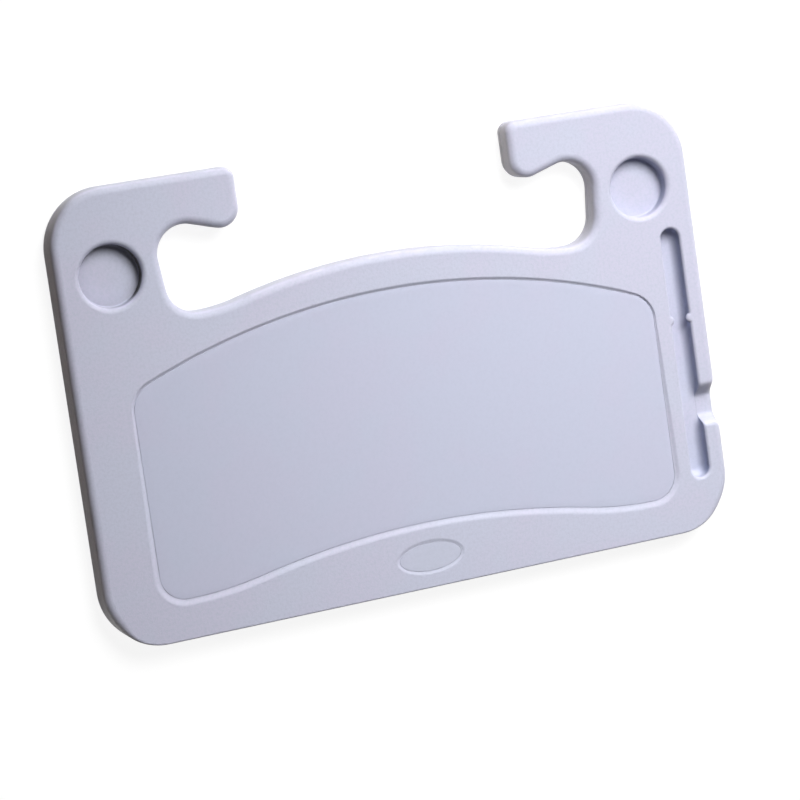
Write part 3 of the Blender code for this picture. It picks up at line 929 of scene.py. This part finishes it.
def with_painted_shade(place, upright, unshaded):
    """The unshaded colour, darkened by painted shade where the surface is shut in."""
    settings = {"samples": SHADE_SAMPLES, "only_local": True}
    reach = {"Distance": SHADE_REACH * MM}
    # Painted shade: the colour darkens where the Ambient Occlusion node finds the surface
    # shut in.
    hollow = 1 - place.node("AmbientOcclusion", settings, reach, output="AO")
    to_right = place.part("X").step(*RIGHT_HALF)
    painted_dark = hollow.step(SHADE_FROM, SHADE_TO) * (1 - LESS_ON_FLOORS * upright)
    # Stronger painted shade on the walls of the left half.
    painted_dark = painted_dark * (1 + MORE_ON_LEFT * (1 - to_right) * (1 - upright))
    # Less painted shade on walls that face the lamp.
    painted_dark = painted_dark * (1 - LESS_TOWARD_LAMP * faces_lamp(place))
    return mix(painted_dark, unshaded, mix(to_right, LEFT_PAINTED_SHADE, RIGHT_PAINTED_SHADE))


# %% [markdown]
# ## Moulded plastic
#
# The mould was etched with a fine grain, so the plastic scatters light softly and
# shows no mirror image. Seen close, the grain is a field of low pebbles about a
# millimetre wide or less. Seen from further off, the colour drifts a little between a
# pinker and a bluer grey, as it does in cheap coloured plastic. An image of grain
# would repeat and need unwrapping, so noise makes it at any size.

# %% The recipe of the greys
DRIFT_SIZE, DRIFT = 38, (0.38, 0.62)
SPECK_SIZE, SPECK, SPECK_SHADE = 1.8, (0.35, 0.75), 0.93
WEAR_SIZE, WEAR, WEAR_SHADE, WEAR_SHOWS = 16, (0.35, 0.6), 1.25, 0.5
GLOSS_SIZE, GLOSS_DRIFT, RUB_GLOSS, NOISE_MIDDLE = 9, 0.07, 0.12, 0.5
FINE_GRAIN, FINE_SIZE = 0.5, 0.45
SPECULAR = 0.22


def moulded(name, pinker, bluer, roughness, pebble, height, mottle):
    """Grained plastic: two greys that drift, and pebbles of a size and height in mm."""
    made, shader, place = new_finish(name)
    upright = level(place)
    rubbed = rim(place, upright) * place.noise(WEAR_SIZE, detail=3).step(*WEAR)
    drift = place.noise(DRIFT_SIZE, detail=3).step(*DRIFT)
    speck = place.noise(SPECK_SIZE, detail=2).step(*SPECK) * mottle
    grey = mix(drift, shade(pinker), shade(bluer))
    grey = mix(speck, grey, shade(bluer, SPECK_SHADE))
    grey = mix(rubbed * WEAR_SHOWS, grey, shade(pinker, WEAR_SHADE))
    # The base colour carries painted shade in the pockets and hollows.
    feed(shader, "Base Color", with_painted_shade(place, upright, grey))
    gloss = GLOSS_DRIFT * (place.noise(GLOSS_SIZE, detail=4) - NOISE_MIDDLE)
    feed(shader, "Roughness", roughness + gloss - RUB_GLOSS * rubbed)
    shader.inputs["Specular IOR Level"].default_value = SPECULAR
    fine = place.noise(pebble * FINE_SIZE, detail=1)
    grain = place.noise(pebble, detail=2) + FINE_GRAIN * fine
    values = {"Height": grain, "Distance": height * MM, "Strength": 1.0}
    feed(shader, "Normal", place.node("Bump", {}, values))
    print("finish:", name)
    return made


# %% Three greys
textured = moulded(
    "textured_grey",
    pinker=(0.600, 0.590, 0.726),
    bluer=(0.585, 0.602, 0.730),
    roughness=0.55,
    pebble=1.0,
    height=0.055,
    mottle=0.9,
)
smooth = moulded(
    "smooth_grey",
    pinker=(0.568, 0.576, 0.716),
    bluer=(0.561, 0.583, 0.720),
    roughness=0.42,
    pebble=0.5,
    height=0.010,
    mottle=0.3,
)
badge = moulded(
    "badge_grey",
    pinker=(0.580, 0.585, 0.714),
    bluer=(0.573, 0.595, 0.718),
    roughness=0.45,
    pebble=0.6,
    height=0.012,
    mottle=0.5,
)

# %% [markdown]
# ## Zinc on steel
#
# Cheap screws are plated with zinc: a bright metal with a faint bluish bloom that is
# patchy in gloss. Only their heads show, deep in the holes of the back.

# %% Screw metal
BLOOM_SIZE = 1.6
BLUISH, YELLOWISH = (0.60, 0.61, 0.63, 1), (0.70, 0.69, 0.66, 1)
ZINC_ROUGHNESS, BLOOM_ROUGHNESS = 0.26, 0.22


def zinc_plate():
    made, shader, place = new_finish("zinc_steel")
    shader.inputs["Metallic"].default_value = 1.0
    bloom = place.noise(BLOOM_SIZE, detail=3)
    feed(shader, "Base Color", mix(bloom, BLUISH, YELLOWISH))
    feed(shader, "Roughness", ZINC_ROUGHNESS + BLOOM_ROUGHNESS * bloom)
    return made


zinc = zinc_plate()
print("finish:", zinc.name)

# %% [markdown]
# ## Each piece gets its finish
#
# A new piece takes the finish of the surface it stands for. The screws stay the CAD
# model's own, because their heads are small and already complete, and take the zinc.

# %% Put the finishes on
tray_front.data.materials.append(textured)
tray_back.data.materials.append(textured)
writing_sheet.data.materials.append(smooth)
badge_oval.data.materials.append(badge)
for name in SCREW_PLACES:
    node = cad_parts[name]
    node.data.materials.clear()
    node.data.materials.append(zinc)
print("screws in zinc:", len(SCREW_PLACES))

# %% [markdown]
# ## Floor
#
# The object lies on a plain pale floor, which is a hair lower than its back, so that
# the two never share a plane. To the camera most of the floor's white is a light of
# its own, so that it reads as plain paper with a faint shadow. Towards the tray the
# floor also glows a little, as a hidden warm fill light, because the walls that turn
# away from the lamp are brownish in the photograph. Beyond the tray's left side a dark
# patch glows and reflects far less, and leaves that wall in shade: it is the darkest
# one. Seen from below the floor is clear, so the back can be looked at.

# %% Lay the floor
FLOOR_HALF, FLOOR_Z = 3.0, -0.0003


def pale_floor():
    mesh = bmesh.new()
    corners = [(-1, -1), (1, -1), (1, 1), (-1, 1)]
    places = [(x * FLOOR_HALF, y * FLOOR_HALF, FLOOR_Z) for x, y in corners]
    mesh.faces.new([mesh.verts.new(place) for place in places])
    data = bpy.data.meshes.new("floor")
    mesh.to_mesh(data)
    mesh.free()
    floor = bpy.data.objects.new("floor", data)
    bpy.context.scene.collection.objects.link(floor)
    return floor


floor = pale_floor()
print("floor:", 2 * FLOOR_HALF, "m wide")

# %% The floor's finish
# Each pair holds a matt colour and the colour of the light that it gives off.
WARM = ((0.55, 0.52, 0.42, 1), (0.30, 0.285, 0.23, 1))
# DIM is a dark, barely glowing patch beside the tray's left side, which leaves that wall
# in shade.
DIM = ((0.11, 0.07, 0.04, 1), (0.06, 0.04, 0.02, 1))
PAPER = ((0.20, 0.20, 0.20, 1), (0.89, 0.89, 0.89, 1))
DIM_FROM, DIM_TO = -0.225, -0.207
FRONT_FROM, FRONT_TO = 0.10, 0.15


def seen_directly(tree):
    """One for camera, mirror and glass rays, nought for the rest."""
    path = tree.nodes.new("ShaderNodeLightPath")
    rays = ("Is Camera Ray", "Is Glossy Ray", "Is Transmission Ray")
    camera, mirror, glass = (Wire(tree, path.outputs[name]) for name in rays)
    return camera.larger(mirror).larger(glass)


def glowing(wire, colour, glow):
    """A matt shader that also gives off light."""
    matt = wire.node("BsdfDiffuse", {}, {"Color": colour})
    light = wire.node("Emission", {}, {"Color": glow})
    return wire.node("AddShader", {}, {0: matt, 1: light})


def floor_finish():
    made = bpy.data.materials.new("floor_paper")
    made.use_nodes = True
    tree = made.node_tree
    tree.nodes.clear()
    seen = seen_directly(tree)
    place = seen.node("TexCoord", output="Object")
    front = (0 - place.part("Y")).step(FRONT_FROM, FRONT_TO)
    warmth = place.part("X").step(DIM_FROM, DIM_TO).larger(front)
    # Rays not seen directly meet a glowing floor: a hidden warm fill light, dim on the
    # left.
    glow_and_bounce = mix_shaders(warmth, glowing(seen, *DIM), glowing(seen, *WARM))
    upper = mix_shaders(seen, glow_and_bounce, glowing(seen, *PAPER))
    below = seen.node("NewGeometry", output="Backfacing")
    sided = mix_shaders(below, upper, seen.node("BsdfTransparent"))
    output = tree.nodes.new("ShaderNodeOutputMaterial")
    tree.links.new(sided.socket, output.inputs["Surface"])
    return made


floor.data.materials.append(floor_finish())
print("finish:", floor.active_material.name)

# %% [markdown]
# ## Light
#
# The photograph was lit by one broad soft source from beyond the upper right corner.
# Its place and size were found from the soft shadows inside the two cups. Its beam is
# narrowed, which makes the face fade towards the lower left. A sun lamp would give hard
# shadows and no fading. A weak lamp low beyond the hooks lights the walls that face it.
# The world fills the shadows a little, and is white to the camera.

# %% Place the lamps
WIDE_OPEN = 180


def softbox(name, place, aim, size, power, spread=WIDE_OPEN):
    """A round lamp: place, aim and size in metres, power in watts, spread in degrees."""
    data = bpy.data.lights.new(name, "AREA")
    data.shape = "DISK"
    data.size = size
    data.energy = power
    data.spread = math.radians(spread)
    lamp = bpy.data.objects.new(name, data)
    lamp.location = place
    beam = Vector(aim) - Vector(place)
    lamp.rotation_euler = beam.to_track_quat("-Z", "Y").to_euler()
    bpy.context.scene.collection.objects.link(lamp)
    print("lamp:", name, power, "W")


softbox(
    "overhead",
    place=(0.40, 0.71, 1.0),
    aim=(0.148, -0.160, 0.0),
    size=0.90,
    power=5.65,
    spread=80,
)
softbox("window", place=(1.20, 2.08, 0.40), aim=(0.0, 0.0, 0.0), size=0.5, power=8.0)

# %% Light the world
FILL = 0.02
WHITE = (1, 1, 1, 1)


def studio_world():
    world = bpy.data.worlds.new("studio")
    world.use_nodes = True
    tree = world.node_tree
    seen = seen_directly(tree)
    dim = seen.node("Background", {}, {"Color": WHITE, "Strength": FILL})
    bright = seen.node("Background", {}, {"Color": WHITE, "Strength": 1.0})
    both = mix_shaders(seen, dim, bright)
    tree.links.new(both.socket, tree.nodes["World Output"].inputs["Surface"])
    tree.nodes.remove(tree.nodes["Background"])
    bpy.context.scene.world = world


studio_world()
print("fill light:", FILL)

# %% [markdown]
# ## Camera
#
# The camera stands where the photograph was taken from. Its place was solved from the
# tray's corners and edges in the photograph: a metre and a half above the tray, half a
# metre to the left, and tilted, with a long lens.

# %% Aim the camera
CAMERA_PLACE = (-0.48248, 0.20565, 1.51369)
CAMERA_FORWARD = Vector((0.30656877, -0.08972214, -0.94761043))
CAMERA_RIGHT = Vector((0.93786362, -0.14155556, 0.31681834))
LENS, SENSOR = 114.08, 36
SHIFT_X, SHIFT_Y = 0.0107, -0.1676


def photo_camera():
    data = bpy.data.cameras.new("camera")
    data.lens = LENS
    data.sensor_width = SENSOR
    data.shift_x = SHIFT_X
    data.shift_y = SHIFT_Y
    camera = bpy.data.objects.new("camera", data)
    up = CAMERA_RIGHT.cross(CAMERA_FORWARD)
    turn = Matrix((CAMERA_RIGHT, up, -CAMERA_FORWARD)).transposed().to_4x4()
    camera.matrix_world = Matrix.Translation(CAMERA_PLACE) @ turn
    bpy.context.scene.collection.objects.link(camera)
    bpy.context.scene.camera = camera


photo_camera()
bpy.context.scene.view_settings.view_transform = "Standard"
print("camera:", round(Vector(CAMERA_PLACE).length, 2), "m from the tray's middle")
